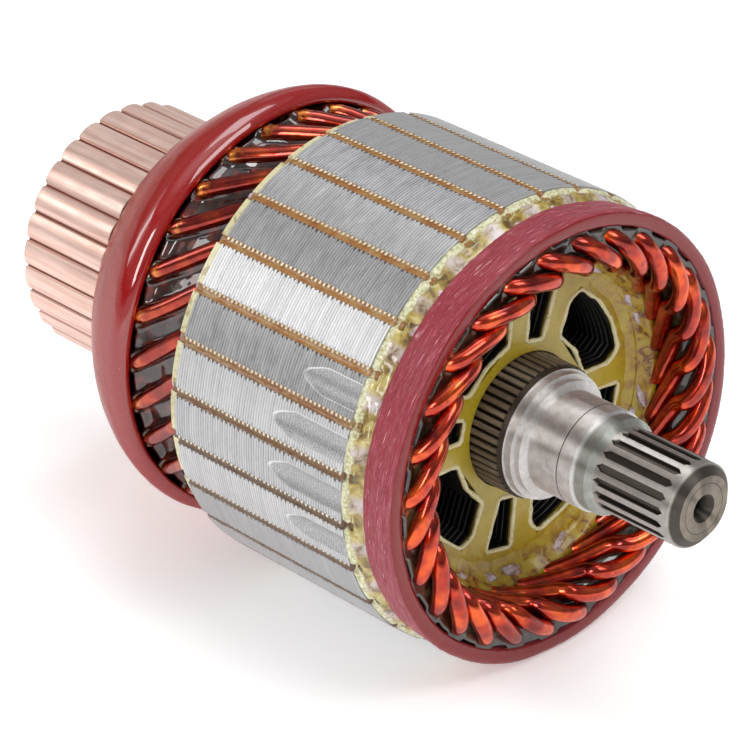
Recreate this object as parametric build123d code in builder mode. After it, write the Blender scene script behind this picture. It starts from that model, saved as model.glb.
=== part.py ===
from build123d import *
import math
import os

# Motor armature: a splined shaft, a slotted steel core, a hairpin winding and a commutator.
# The shaft lies along X with the splined drive end towards +X.
# The origin is on the shaft axis, in the middle of the drive-end bearing seat.
# Angles round the shaft start at +Z and grow towards -Y. Lengths are in millimetres.

# Shaft, from the drive-end bearing seat outwards: each step is a change of radius
seat_radius = 8.5
seat_length = 9.4
seat_chamfer = 0.35
shoulder_step = 1.3
shoulder_relief = 0.6
shoulder_length = 1.1
ground_ring_step = 0.8
ground_ring_length = 1.4
plain_ring_step = 0.35
plain_ring_length = 1.0
knurl_step = 0.4
knurl_count = 48
knurl_depth = 0.45
knurl_groove = 1.35
middle_step = 1.85
collar_step = 0.4
collar_length = 2.2
collar_chamfer = 0.9
spline_step = 1.05
spline_length = 15.3
spline_count = 19
spline_depth = 0.8
spline_groove = 1.3
spline_phase = 24.7
spline_run_out = 0.9
tip_step = 1.65
tip_length = 1.4
commutator_seat_step = 1.5
rear_shoulder_length = 1.0
rear_journal_step = 2.0
rear_journal_length = 13.0
shaft_end_chamfer = 0.6
centre_hole_radius = 1.25
centre_mouth_radius = 2.4
centre_mouth_angle = 30.0
centre_hole_depth = 6.0
centre_hole_point = 0.7

# Slotted core
slot_count = 28
core_radius = 38.5
core_length = 38.0
core_to_seat = 15.3
slot_lip = 1.7
slot_mouth = 1.5
yoke_width = 4.5
spoke_ring_width = 3.55
window_count = 4
window_flank_share = 0.707
window_corner_angle = 1.5
wide_window_angle = 49.0
wide_window_waist = 40.0
wide_window_phase = -57.0
narrow_window_angle = 13.0
narrow_window_extra = 1.0

# Balance cuts: how far each reaches in from the drive-end face of the core
balance_cut_reaches = (12.4, 16.5, 16.7, 13.7)
first_balanced_tooth = 5
balance_cutter_radius = 4.0
balance_cut_depth = 0.75
balance_cut_point = 5.0

# End plates, slot liners and slot wedges
front_plate_thickness = 1.0
rear_plate_thickness = 1.1
front_lug_thickness = 1.8
rear_lug_thickness = 2.0
lug_setback = 0.9
lug_root = 1.0
plate_bore_gap = 0.25
window_rim = 0.6
liner_gap = 0.05
liner_wall = 0.3
liner_stop = 0.2
wedge_gap = 0.1
wedge_thickness = 0.9
wedge_sink = 0.6

# Hairpin winding: two layers of round wire, one wire of each layer in every slot
wire_size = 2.8
wire_side_gap = 0.1
wire_layer_gap = 0.3
layer_spacing = 2.05
coil_span = 5
front_bend_gap = 0.9
slant_wire_gap = 0.43
crown_wire_gap = 0.25
crown_reach = 2.3
rear_bend_gap = 0.3
top_lead_helix = 12.7
top_lead_turn = 15.8
top_lead_fall = 16.0
bottom_lead_helix = 7.0
bottom_lead_turn = 8.5
bottom_lead_fall = 17.5
lead_foot = 2.0
lead_bar_offset = 2
lead_inset = 1.3
lead_layer_step = 3.5
sleeve_wall = 0.6
sleeve_overlap = 0.4
front_sleeve_setback = 1.8
rear_sleeve_setback = 1.3

# Bands round the winding
band_clearance = 0.3
front_band_gap = 1.7
front_band_length = 7.1
front_band_rear_wall = 1.9
front_band_front_wall = 2.5
front_band_chamfer = 0.4
rear_band_gap = 12.0
rear_band_wall = 1.6
rear_band_rim = 4.6
rear_band_edge = 1.0
rear_band_edge_drop = 0.4
rear_band_lip = 0.5
rear_band_bulge = 1.6
rear_band_setback = 0.6
rear_band_foot = 0.7
rear_band_overlap = 2.2
rear_band_riser_gap = 0.1

# Commutator
bar_radius = 22.2
bar_depth = 8.0
bar_crown_radius = 6.0
mica_thickness = 0.7
mica_undercut = 1.0
riser_step = 0.5
riser_length = 4.8
track_length = 19.1
hub_gap = 0.15
hub_recess = 0.8
bush_wall = 1.6

# Radii of the shaft
shoulder_radius = seat_radius + shoulder_step
ground_ring_radius = shoulder_radius + ground_ring_step
plain_ring_radius = ground_ring_radius + plain_ring_step
core_bore_radius = plain_ring_radius + knurl_step
middle_radius = core_bore_radius - middle_step
commutator_seat_radius = middle_radius - commutator_seat_step
rear_journal_radius = commutator_seat_radius - rear_journal_step
collar_radius = seat_radius - collar_step
spline_radius = collar_radius - spline_step
tip_face_radius = spline_radius - tip_step

# Slots, measured outwards from the shaft axis, with the wires' places in them
slot_width = wire_size + 2 * (wire_side_gap + liner_wall + liner_gap)
slot_top_radius = core_radius - slot_lip
liner_top = slot_top_radius - wedge_thickness - 2 * liner_gap
top_layer_radius = liner_top - liner_wall - wire_layer_gap - wire_size / 2
bottom_layer_radius = top_layer_radius - wire_size - layer_spacing
liner_floor = bottom_layer_radius - wire_size / 2 - wire_layer_gap - liner_wall
slot_floor_radius = liner_floor - liner_gap
slot_depth = slot_top_radius - slot_floor_radius
slot_middle = slot_floor_radius + slot_depth / 2
window_outer_radius = slot_floor_radius - yoke_width
window_inner_radius = core_bore_radius + spoke_ring_width
slot_pitch = 360.0 / slot_count
first_slot = -1.5 * slot_pitch

# Turns and radii of a hairpin, spaced so that neighbours just clear each other
half_span = coil_span * slot_pitch / 2
lead_turn = lead_bar_offset * slot_pitch
crown_middle_radius = (top_layer_radius + bottom_layer_radius) / 2
crown_radial_half = (top_layer_radius - bottom_layer_radius) / 2
crown_pitch = crown_middle_radius * math.radians(slot_pitch)
crown_lean = math.asin((wire_size + crown_wire_gap) / crown_pitch)
crown_half_angle = math.degrees(crown_radial_half / math.tan(crown_lean) / crown_middle_radius)
slant_turn = half_span - crown_half_angle
slant_pitch = top_layer_radius * math.radians(slot_pitch)
slant_lean = math.asin((wire_size + slant_wire_gap) / slant_pitch)
slant_length = top_layer_radius * math.radians(slant_turn) * math.tan(slant_lean)
riser_radius = bar_radius - riser_step
top_lead_end_radius = riser_radius - lead_inset
bottom_lead_end_radius = top_lead_end_radius - lead_layer_step

# Stations along the shaft
core_front = -core_to_seat
core_rear = core_front - core_length
front_lug_face = core_front + front_lug_thickness
rear_lug_face = core_rear - rear_lug_thickness
front_bend = front_lug_face + front_bend_gap
rear_bend = rear_lug_face - rear_bend_gap
slant_end = front_bend + slant_length
riser_face = rear_bend - top_lead_helix - top_lead_fall - lead_foot
bar_start = riser_face - riser_length
bar_end = bar_start - track_length
rear_shoulder = bar_end - rear_shoulder_length
rear_shaft_end = rear_shoulder - rear_journal_length
seat_end = seat_length / 2
shoulder_face = -seat_end - shoulder_relief
ground_ring_front = shoulder_face - shoulder_length
ground_ring_rear = ground_ring_front - ground_ring_length
knurl_end = ground_ring_rear - plain_ring_length
collar_end = seat_end + collar_length
spline_start = collar_end + collar_chamfer
spline_end = spline_start + spline_length
tip_face = spline_end + tip_length


def polar(radius, angle):
    """Point in a cross-section (Y, Z) at a radius and an angle round the shaft."""
    turn = math.radians(90.0 + angle)
    return (radius * math.cos(turn), radius * math.sin(turn))


def spot(x, radius, angle):
    """Point in space at a station, a radius and an angle round the shaft."""
    y, z = polar(radius, angle)
    return (x, y, z)


def finish(part, name):
    """Label a finished piece and write it to its own file."""
    part.label = name
    export_step(part, f"parts/{name}.step")


os.makedirs("parts", exist_ok=True)


def wide_window(grow):
    """Five-cornered lightening window, its outline moved out by grow."""
    half_wide = wide_window_angle / 2
    half_waist = wide_window_waist / 2
    corner = half_waist + window_corner_angle
    window_depth = window_outer_radius - window_inner_radius
    flank_end = window_inner_radius + window_flank_share * window_depth
    with BuildSketch() as window:
        with BuildLine():
            outer = ThreePointArc(
                polar(window_outer_radius, -corner),
                polar(window_outer_radius, 0),
                polar(window_outer_radius, corner),
            )
            Polyline(
                outer @ 1,
                polar(flank_end, half_wide),
                polar(window_inner_radius, half_waist),
                polar(window_inner_radius, -half_waist),
                polar(flank_end, -half_wide),
                outer @ 0,
            )
        make_face()
        if grow > 0:
            offset(amount=grow, kind=Kind.INTERSECTION)
    return window.sketch


def narrow_window(grow):
    """Slim lightening window between two wide ones, moved out by grow."""
    half = narrow_window_angle / 2
    inner_radius = window_inner_radius - narrow_window_extra
    with BuildSketch() as window:
        with BuildLine():
            Polyline(
                polar(inner_radius, half),
                polar(window_outer_radius, half),
                polar(window_outer_radius, -half),
                polar(inner_radius, -half),
                close=True,
            )
        make_face()
        if grow > 0:
            offset(amount=grow, kind=Kind.INTERSECTION)
    return window.sketch


core_windows = (wide_window(0), narrow_window(0))
plate_windows = (wide_window(window_rim), narrow_window(window_rim))


def cut_windows(windows):
    """Take both kinds of window out of the sketch that is open."""
    for window, phase in zip(windows, (0, 180.0 / window_count)):
        with PolarLocations(0, window_count, start_angle=wide_window_phase + phase):
            add(window, mode=Mode.SUBTRACT)


def cut_slots(rim_radius):
    """Take the slots and their mouths out of the toothed sketch that is open."""
    mouth_depth = rim_radius - slot_top_radius + slot_lip
    mouth_middle = slot_top_radius + mouth_depth / 2
    with PolarLocations(slot_middle, slot_count, start_angle=90 + first_slot):
        Rectangle(slot_depth, slot_width, mode=Mode.SUBTRACT)
    with PolarLocations(mouth_middle, slot_count, start_angle=90 + first_slot):
        Rectangle(mouth_depth, slot_mouth, mode=Mode.SUBTRACT)


# Steel core, its laminations pressed together into one stack
with BuildPart() as core:
    with BuildSketch(Plane.YZ.offset(core_rear)):
        Circle(core_radius)
        Circle(core_bore_radius, mode=Mode.SUBTRACT)
        cut_slots(core_radius)
        cut_windows(core_windows)
    extrude(amount=core_length)
    # Milled balance cuts, one on each of four neighbouring teeth
    cutter_axis = core_radius + balance_cutter_radius - balance_cut_depth
    point_taper = math.degrees(math.atan(balance_cut_depth / balance_cut_point))
    for step, reach in enumerate(balance_cut_reaches):
        centre = polar(cutter_axis, slot_pitch * (first_balanced_tooth + step))
        straight_end = core_front - reach + balance_cut_point
        with BuildSketch(Plane.YZ.offset(straight_end)):
            with Locations(centre):
                Circle(balance_cutter_radius)
        extrude(amount=reach, mode=Mode.SUBTRACT)
        with BuildSketch(Plane.YZ.offset(straight_end)):
            with Locations(centre):
                Circle(balance_cutter_radius)
        extrude(amount=-balance_cut_point, taper=point_taper, mode=Mode.SUBTRACT)
finish(core.part, "lamination_core")

# Insulating end plates, with a thicker lug on every tooth
lug_radius = core_radius - lug_setback
for name, face, direction, plate, lug in (
    ("front_end_plate", core_front, 1, front_plate_thickness, front_lug_thickness),
    ("rear_end_plate", core_rear, -1, rear_plate_thickness, rear_lug_thickness),
):
    with BuildPart() as end_plate:
        with BuildSketch(Plane.YZ.offset(face)):
            Circle(slot_floor_radius)
            Circle(core_bore_radius + plate_bore_gap, mode=Mode.SUBTRACT)
            cut_windows(plate_windows)
        extrude(amount=direction * plate)
        with BuildSketch(Plane.YZ.offset(face)):
            Circle(lug_radius)
            Circle(slot_floor_radius - lug_root, mode=Mode.SUBTRACT)
            cut_slots(lug_radius)
        extrude(amount=direction * lug)
    finish(end_plate.part, name)

# Slot liners, one insulating tube in every slot
liner_start = rear_lug_face + liner_stop
liner_length = front_lug_face - liner_stop - liner_start
liner_width = slot_width - 2 * liner_gap
liner_depth = liner_top - liner_floor
with BuildPart() as liners:
    with BuildSketch(Plane.YZ.offset(liner_start)):
        with PolarLocations(liner_floor + liner_depth / 2, slot_count, start_angle=90 + first_slot):
            Rectangle(liner_depth, liner_width)
            Rectangle(
                liner_depth - 2 * liner_wall,
                liner_width - 2 * liner_wall,
                mode=Mode.SUBTRACT,
            )
    extrude(amount=liner_length)
finish(liners.part, "slot_liners")

# Slot wedges, one strip under the lips of every slot with a rib in its mouth
wedge_rib = slot_lip - wedge_sink
wedge_middle = slot_top_radius - liner_gap - wedge_thickness / 2
rib_middle = wedge_middle + (wedge_thickness + wedge_rib) / 2
with BuildPart() as wedges:
    with BuildSketch(Plane.YZ.offset(core_rear)):
        with PolarLocations(wedge_middle, slot_count, start_angle=90 + first_slot):
            Rectangle(wedge_thickness, slot_width - 2 * wedge_gap)
        with PolarLocations(rib_middle, slot_count, start_angle=90 + first_slot):
            Rectangle(wedge_rib, slot_mouth - wedge_gap)
    extrude(amount=core_length)
finish(wedges.part, "slot_wedges")

# Hairpin: a round wire with one leg in the top of a slot and one in the bottom of another
slant_middle = (front_bend + slant_end) / 2
top_lead = [
    spot(riser_face, top_lead_end_radius, lead_turn),
    spot(riser_face + lead_foot, top_lead_end_radius, lead_turn),
    spot(rear_bend - top_lead_helix, top_layer_radius, top_lead_turn),
    spot(rear_bend - top_lead_helix / 2, top_layer_radius, top_lead_turn / 2),
    spot(rear_bend, top_layer_radius, 0),
]
top_slant = [
    spot(front_bend, top_layer_radius, 0),
    spot(slant_middle, top_layer_radius, -slant_turn / 2),
    spot(slant_end, top_layer_radius, -slant_turn),
]
crown = []
for turn in (45, 90, 135):
    swing = math.radians(turn)
    crown.append(
        spot(
            slant_end + crown_reach * math.sin(swing),
            crown_middle_radius + crown_radial_half * math.cos(swing),
            crown_half_angle * math.cos(swing) - half_span,
        )
    )
bottom_turn = -2 * half_span
bottom_slant = [
    spot(slant_end, bottom_layer_radius, bottom_turn + slant_turn),
    spot(slant_middle, bottom_layer_radius, bottom_turn + slant_turn / 2),
    spot(front_bend, bottom_layer_radius, bottom_turn),
]
bottom_fall_end = rear_bend - bottom_lead_helix - bottom_lead_fall
bottom_lead = [
    spot(rear_bend, bottom_layer_radius, bottom_turn),
    spot(rear_bend - bottom_lead_helix, bottom_layer_radius, bottom_turn - bottom_lead_turn),
    spot(bottom_fall_end, bottom_lead_end_radius, bottom_turn - lead_turn),
    spot(riser_face, bottom_lead_end_radius, bottom_turn - lead_turn),
]
with BuildPart() as hairpin:
    with BuildLine() as wire_path:
        Polyline(*top_lead, *top_slant, *crown, *bottom_slant, *bottom_lead)
    with BuildSketch(Plane.YZ.offset(riser_face)):
        with Locations(polar(top_lead_end_radius, lead_turn)):
            RegularPolygon(wire_size / 2, 6, rotation=90 + lead_turn)
    sweep(path=wire_path.wire(), transition=Transition.RIGHT)
for index in range(slot_count):
    with BuildPart() as coil:
        add(hairpin.part, rotation=(first_slot + slot_pitch * index, 0, 0))
    finish(coil.part, f"hairpin_{index + 1:02d}")

# Insulating sleeves between the two layers of the winding
front_sleeve_length = slant_length + sleeve_overlap - front_sleeve_setback
rear_sleeve_length = top_lead_helix - rear_sleeve_setback
for name, start, length in (
    ("front_layer_sleeve", front_bend - sleeve_overlap, front_sleeve_length),
    ("rear_layer_sleeve", rear_bend, -rear_sleeve_length),
):
    with BuildPart() as sleeve:
        with BuildSketch(Plane.YZ.offset(start)):
            Circle(crown_middle_radius + sleeve_wall / 2)
            Circle(crown_middle_radius - sleeve_wall / 2, mode=Mode.SUBTRACT)
        extrude(amount=length)
    finish(sleeve.part, name)

# Glass-tape band round the crowns at the drive end
band_seat_radius = top_layer_radius + wire_size / 2 + band_clearance
band_start = front_lug_face + front_band_gap
band_end = band_start + front_band_length
with BuildPart() as front_band:
    with BuildSketch(Plane.XZ):
        with BuildLine():
            Polyline(
                (band_start, band_seat_radius),
                (band_start, band_seat_radius + front_band_rear_wall),
                (band_end, band_seat_radius + front_band_front_wall),
                (band_end, band_seat_radius),
                close=True,
            )
        make_face()
        rims = vertices().group_by(Axis.Y)[-2:]
        chamfer(rims[0] + rims[1], front_band_chamfer)
    revolve(axis=Axis.X)
finish(front_band.part, "front_band")

# Resin ring over the commutator leads, a hollow cone with a rounded rim
rear_band_front = rear_bend - rear_band_gap
rim_rear = rear_band_front - rear_band_rim
rim_radius = band_seat_radius + rear_band_wall
foot_rear = riser_face - rear_band_overlap
foot_radius = riser_radius + rear_band_foot
cone_front = riser_face + rear_band_riser_gap
with BuildPart() as rear_band:
    with BuildSketch(Plane.XZ):
        with BuildLine():
            flank_arc = ThreePointArc(
                (foot_rear, foot_radius),
                (
                    (foot_rear + rim_rear) / 2 - rear_band_bulge,
                    (foot_radius + rim_radius) / 2 + rear_band_bulge,
                ),
                (rim_rear, rim_radius),
            )
            rim_arc = TangentArc(
                flank_arc @ 1,
                (rear_band_front - rear_band_edge, rim_radius - rear_band_edge_drop),
                tangent=flank_arc % 1,
            )
            Polyline(
                rim_arc @ 1,
                (rear_band_front, band_seat_radius + rear_band_lip),
                (rear_band_front, band_seat_radius),
                (rim_rear - rear_band_setback, band_seat_radius),
                (cone_front, foot_radius),
                (cone_front, riser_radius),
                (foot_rear, riser_radius),
                flank_arc @ 0,
            )
        make_face()
    revolve(axis=Axis.X)
finish(rear_band.part, "rear_band")

# Commutator bars: copper segments with a rounded crown and a plain riser
half_mica = mica_thickness / 2
half_pitch = math.radians(slot_pitch / 2)
bar_root_radius = bar_radius - bar_depth


def flank(radius):
    """Half the width of a bar at a radius, beside its parallel-sided mica."""
    return radius * math.sin(half_pitch) - half_mica * math.cos(half_pitch)


def along(radius):
    """Distance along the middle of a bar to its flank corner at a radius."""
    return radius * math.cos(half_pitch) + half_mica * math.sin(half_pitch)


crown_drop = bar_crown_radius - math.sqrt(bar_crown_radius**2 - flank(bar_radius) ** 2)
bar_shoulder = bar_radius - crown_drop / math.cos(half_pitch)
with BuildSketch() as bar_section:
    with BuildLine():
        lobe = ThreePointArc(
            (along(bar_shoulder), -flank(bar_shoulder)),
            (bar_radius, 0),
            (along(bar_shoulder), flank(bar_shoulder)),
        )
        Polyline(
            lobe @ 1,
            (along(bar_root_radius), flank(bar_root_radius)),
            (along(bar_root_radius), -flank(bar_root_radius)),
            lobe @ 0,
        )
    make_face()
with BuildSketch() as riser_section:
    with BuildLine():
        Polyline(
            (along(riser_radius), -flank(riser_radius)),
            (along(riser_radius), flank(riser_radius)),
            (along(bar_root_radius), flank(bar_root_radius)),
            (along(bar_root_radius), -flank(bar_root_radius)),
            close=True,
        )
    make_face()
with BuildPart() as bars:
    with BuildSketch(Plane.YZ.offset(bar_end)):
        with PolarLocations(0, slot_count, start_angle=90 + first_slot):
            add(bar_section.sketch)
    extrude(amount=track_length)
    with BuildSketch(Plane.YZ.offset(bar_start)):
        with PolarLocations(0, slot_count, start_angle=90 + first_slot):
            add(riser_section.sketch)
    extrude(amount=riser_length)
finish(bars.part, "commutator_bars")

# Mica between the bars, cut back below their crowns
mica_top = bar_shoulder - mica_undercut
mica_middle = (mica_top + bar_root_radius) / 2
mica_phase = 90 + first_slot + slot_pitch / 2
commutator_length = track_length + riser_length
with BuildPart() as mica:
    with BuildSketch(Plane.YZ.offset(bar_end)):
        with PolarLocations(mica_middle, slot_count, start_angle=mica_phase):
            Rectangle(mica_top - bar_root_radius, mica_thickness)
    extrude(amount=commutator_length)
finish(mica.part, "commutator_mica")

# Moulded hub that carries the bars, on its steel bush
bush_radius = commutator_seat_radius + bush_wall
hub_length = commutator_length - 2 * hub_recess
for name, outer_radius, inner_radius in (
    ("commutator_hub", bar_root_radius - hub_gap, bush_radius),
    ("commutator_bush", bush_radius, commutator_seat_radius),
):
    with BuildPart() as carrier:
        with BuildSketch(Plane.YZ.offset(bar_end + hub_recess)):
            Circle(outer_radius)
            Circle(inner_radius, mode=Mode.SUBTRACT)
        extrude(amount=hub_length)
    finish(carrier.part, name)

# Shaft: turned blank, then knurl, spline grooves and centre holes
hub_stop = riser_face - hub_recess
with BuildPart() as shaft:
    with BuildSketch(Plane.XZ):
        with BuildLine():
            Polyline(
                (rear_shaft_end, 0),
                (rear_shaft_end, rear_journal_radius - shaft_end_chamfer),
                (rear_shaft_end + shaft_end_chamfer, rear_journal_radius),
                (rear_shoulder, rear_journal_radius),
                (rear_shoulder, commutator_seat_radius),
                (hub_stop, commutator_seat_radius),
                (hub_stop, middle_radius),
                (core_rear, middle_radius),
                (core_rear, core_bore_radius),
                (knurl_end, core_bore_radius),
                (knurl_end, plain_ring_radius),
                (ground_ring_rear, plain_ring_radius),
                (ground_ring_rear, ground_ring_radius),
                (ground_ring_front, ground_ring_radius),
                (ground_ring_front, shoulder_radius),
                (shoulder_face, shoulder_radius),
                (-seat_end, seat_radius),
                (seat_end - seat_chamfer, seat_radius),
                (seat_end, collar_radius),
                (collar_end, collar_radius),
                (spline_start, spline_radius),
                (spline_end, spline_radius),
                (tip_face, tip_face_radius),
                (tip_face, 0),
                close=True,
            )
        make_face()
    revolve(axis=Axis.X)
    # Straight knurl that grips the core and shows in front of it
    with BuildSketch(Plane.YZ.offset(core_rear)):
        with PolarLocations(core_bore_radius, knurl_count):
            Polygon(
                (knurl_depth / 2, -knurl_groove / 2),
                (knurl_depth / 2, knurl_groove / 2),
                (-knurl_depth, 0),
                align=None,
            )
    extrude(amount=knurl_end - core_rear, mode=Mode.SUBTRACT)
    # Spline grooves that run out before the tip
    groove_length = spline_length - spline_run_out
    for index in range(spline_count):
        angle = spline_phase + index * 360.0 / spline_count
        foot = spot(spline_start, spline_radius - spline_depth, angle)
        outward = Vector(0, foot[1], foot[2])
        with BuildSketch(Plane(origin=foot, x_dir=(1, 0, 0), z_dir=outward)):
            with BuildLine():
                Polyline(
                    (0, 0),
                    (spline_run_out, spline_groove / 2),
                    (groove_length - spline_run_out, spline_groove / 2),
                    (groove_length, 0),
                    (groove_length - spline_run_out, -spline_groove / 2),
                    (spline_run_out, -spline_groove / 2),
                    close=True,
                )
            make_face()
        extrude(amount=2 * spline_depth, mode=Mode.SUBTRACT)
    # Centre holes at both ends
    mouth_slope = math.tan(math.radians(centre_mouth_angle))
    mouth_depth = (centre_mouth_radius - centre_hole_radius) / mouth_slope
    for face, inward in ((tip_face, -1), (rear_shaft_end, 1)):
        with BuildSketch(Plane.XZ):
            with BuildLine():
                Polyline(
                    (face, 0),
                    (face, centre_mouth_radius),
                    (face + inward * mouth_depth, centre_hole_radius),
                    (face + inward * centre_hole_depth, centre_hole_radius),
                    (face + inward * (centre_hole_depth + centre_hole_point), 0),
                    close=True,
                )
            make_face()
        revolve(axis=Axis.X, mode=Mode.SUBTRACT)
finish(shaft.part, "armature_shaft")
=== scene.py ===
import math
import random
from functools import partial

import bpy
from mathutils import Euler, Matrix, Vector, noise


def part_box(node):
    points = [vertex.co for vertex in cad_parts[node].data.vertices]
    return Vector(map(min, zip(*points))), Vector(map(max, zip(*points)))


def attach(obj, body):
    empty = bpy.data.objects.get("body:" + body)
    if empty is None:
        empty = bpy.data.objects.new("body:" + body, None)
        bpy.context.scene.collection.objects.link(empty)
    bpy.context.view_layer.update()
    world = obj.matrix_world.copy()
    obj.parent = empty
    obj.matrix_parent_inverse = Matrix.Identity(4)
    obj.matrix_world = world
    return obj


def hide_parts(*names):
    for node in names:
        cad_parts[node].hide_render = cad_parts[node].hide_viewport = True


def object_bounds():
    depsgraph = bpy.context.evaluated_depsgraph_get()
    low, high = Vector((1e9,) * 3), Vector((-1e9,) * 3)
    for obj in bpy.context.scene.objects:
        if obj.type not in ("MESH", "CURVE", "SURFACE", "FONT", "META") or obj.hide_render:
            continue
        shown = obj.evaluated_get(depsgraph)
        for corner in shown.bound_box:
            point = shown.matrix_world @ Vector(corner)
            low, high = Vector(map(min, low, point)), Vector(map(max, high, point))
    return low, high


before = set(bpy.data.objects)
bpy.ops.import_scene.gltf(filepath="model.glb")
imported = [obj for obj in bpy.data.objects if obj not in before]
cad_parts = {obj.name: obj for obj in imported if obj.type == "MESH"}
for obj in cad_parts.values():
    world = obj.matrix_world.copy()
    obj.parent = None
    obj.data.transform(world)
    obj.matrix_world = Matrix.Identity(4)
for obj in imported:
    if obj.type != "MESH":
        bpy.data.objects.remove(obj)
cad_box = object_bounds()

# Motor armature dressed for its photograph. Lengths here are millimetres, turned into metres by
# at() as the vertices are made. The shaft lies along X, and angles round it start at +Z and grow
# towards -Y.

MM = 0.001

# Core, with its slots at half pitches on both sides of the top
slot_count = 28
slot_pitch = 360.0 / slot_count
first_slot = -1.5 * slot_pitch
slots_per_radian = slot_count / (2 * math.pi)
core_radius = 38.5
core_front = -15.3
core_rear = -53.3
core_bore_radius = 11.35
core_pitch_arc = 2 * math.pi * core_radius / slot_count
slot_mouth = 1.5
slot_floor_radius = 26.9
sheet_pitch = 0.56
burr_pitch = 0.95

# End plates
front_lug_face = -13.5
front_plate_face = -14.3
rear_lug_face = -55.3
plate_yoke_width = 4.5
plate_ring_width = 3.55
window_flank_share = 0.707
window_phase = -57.0

# Winding
front_bend = -12.6
rear_bend = -55.6
slant_end = -6.2
slant_middle = (front_bend + slant_end) / 2
crown_reach = 2.3
wire_radius = 1.42
top_radius = 33.8
bottom_radius = 28.95
half_span = 2.5 * slot_pitch
crown_half_angle = 9.1
slant_turn = half_span - crown_half_angle
lead_turn = 2 * slot_pitch

# Bands and commutator
band_seat_radius = 35.5
front_band_front = -4.7
riser_face = -86.3
bar_shoulder = 21.8
bar_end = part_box("commutator_bars")[0][0] / MM
bar_pitch_arc = 2 * math.pi * bar_shoulder / slot_count


# Geometry helpers

def at(x, radius, angle):
    """Point in space, in metres, from a station, a radius and an angle in degrees."""
    turn = math.radians(angle)
    return Vector((x, -radius * math.sin(turn), radius * math.cos(turn))) * MM


def new_object(name, points, faces, material, smooth=True):
    """Mesh object with its origin at the frame's origin."""
    mesh = bpy.data.meshes.new(name)
    mesh.from_pydata([tuple(p) for p in points], [], faces)
    mesh.validate()
    if smooth:
        mesh.polygons.foreach_set("use_smooth", [True] * len(mesh.polygons))
    mesh.materials.append(material)
    piece = bpy.data.objects.new(name, mesh)
    bpy.context.scene.collection.objects.link(piece)
    return piece


def round_faces(rows, columns, wrap_rows=False, start=0):
    """Quads over closed rows of points, the last row joined to the first if asked."""
    faces = []
    for i in range(rows if wrap_rows else rows - 1):
        here = start + i * columns
        above = start + (i + 1) % rows * columns
        for j in range(columns):
            following = (j + 1) % columns
            faces.append((here + j, here + following, above + following, above + j))
    return faces


def catmull_rom(p0, p1, p2, p3, steps):
    """Points from p1 towards p2 on a centripetal curve, p2 left out."""
    t1 = (p1 - p0).length ** 0.5
    t2 = t1 + (p2 - p1).length ** 0.5
    t3 = t2 + (p3 - p2).length ** 0.5
    line = []
    for k in range(steps):
        t = t1 + (t2 - t1) * k / steps
        a1 = p0 * ((t1 - t) / t1) + p1 * (t / t1)
        a2 = p1 * ((t2 - t) / (t2 - t1)) + p2 * ((t - t1) / (t2 - t1))
        a3 = p2 * ((t3 - t) / (t3 - t2)) + p3 * ((t - t2) / (t3 - t2))
        b1 = a1 * ((t2 - t) / t2) + a2 * (t / t2)
        b2 = a2 * ((t3 - t) / (t3 - t1)) + a3 * ((t - t1) / (t3 - t1))
        line.append(b1 * ((t2 - t) / (t2 - t1)) + b2 * ((t - t1) / (t2 - t1)))
    return line


def smooth_path(points, steps):
    """Smooth curve through the points, with so many steps in each span."""
    ends = [points[0] * 2 - points[1]] + list(points) + [points[-1] * 2 - points[-2]]
    path = []
    for i, count in enumerate(steps):
        path += catmull_rom(*ends[i:i + 4], count)
    return path + [points[-1].copy()]


def tube(name, path, radius, sides, material):
    """Round tube along a path in metres, without twist."""
    points = []
    side = None
    for i, here in enumerate(path):
        before = path[max(i - 1, 0)]
        after = path[min(i + 1, len(path) - 1)]
        ahead = (after - before).normalized()
        if side is None:
            side = ahead.orthogonal().normalized()
        side = (side - ahead * side.dot(ahead)).normalized()
        other = ahead.cross(side)
        for k in range(sides):
            swing = 2 * math.pi * k / sides
            points.append(here + (side * math.cos(swing) + other * math.sin(swing)) * radius * MM)
    faces = round_faces(len(path), sides)
    faces.append(tuple(reversed(range(sides))))
    faces.append(tuple(range((len(path) - 1) * sides, len(path) * sides)))
    return new_object(name, points, faces, material)


def ring(name, profile, segments, wobble, material):
    """Closed profile turned round the shaft, wobble giving small moves along the radius and X."""
    points = []
    for x, radius in profile:
        for k in range(segments):
            angle = 360.0 * k / segments
            rise, shift = wobble(x, radius, angle, partial(lumps, x, radius, angle))
            points.append(at(x + shift, radius + rise, angle))
    return new_object(name, points, round_faces(len(profile), segments, True), material)


def lumps(x, radius, angle, scale, seed):
    """Smooth noise over the body of the armature, from -1 to 1."""
    return noise.noise(at(x, radius, angle) / MM / scale + Vector((seed, 0, 0)))


def arc_points(start, middle, end, count):
    """Points of the arc through three points of a profile."""
    (ax, ay), (bx, by), (cx, cy) = start, middle, end
    a, b, c = ax**2 + ay**2, bx**2 + by**2, cx**2 + cy**2
    d = 2 * (ax * (by - cy) + bx * (cy - ay) + cx * (ay - by))
    ux = (a * (by - cy) + b * (cy - ay) + c * (ay - by)) / d
    uy = (a * (cx - bx) + b * (ax - cx) + c * (bx - ax)) / d
    radius = math.hypot(ax - ux, ay - uy)
    first = math.atan2(ay - uy, ax - ux)
    sweep = math.atan2(cy - uy, cx - ux) - first
    turns = [first + sweep * k / count for k in range(count + 1)]
    return [(ux + radius * math.cos(t), uy + radius * math.sin(t)) for t in turns]


# Material helpers

def linear_colour(value):
    """Linear colour from three display values of 0 to 255, any other value unchanged."""
    if not isinstance(value, tuple) or len(value) != 3:
        return value
    return tuple(
        (c / 255 / 12.92) if c / 255 <= 0.04045 else ((c / 255 + 0.055) / 1.055) ** 2.4
        for c in value
    ) + (1.0,)


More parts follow.
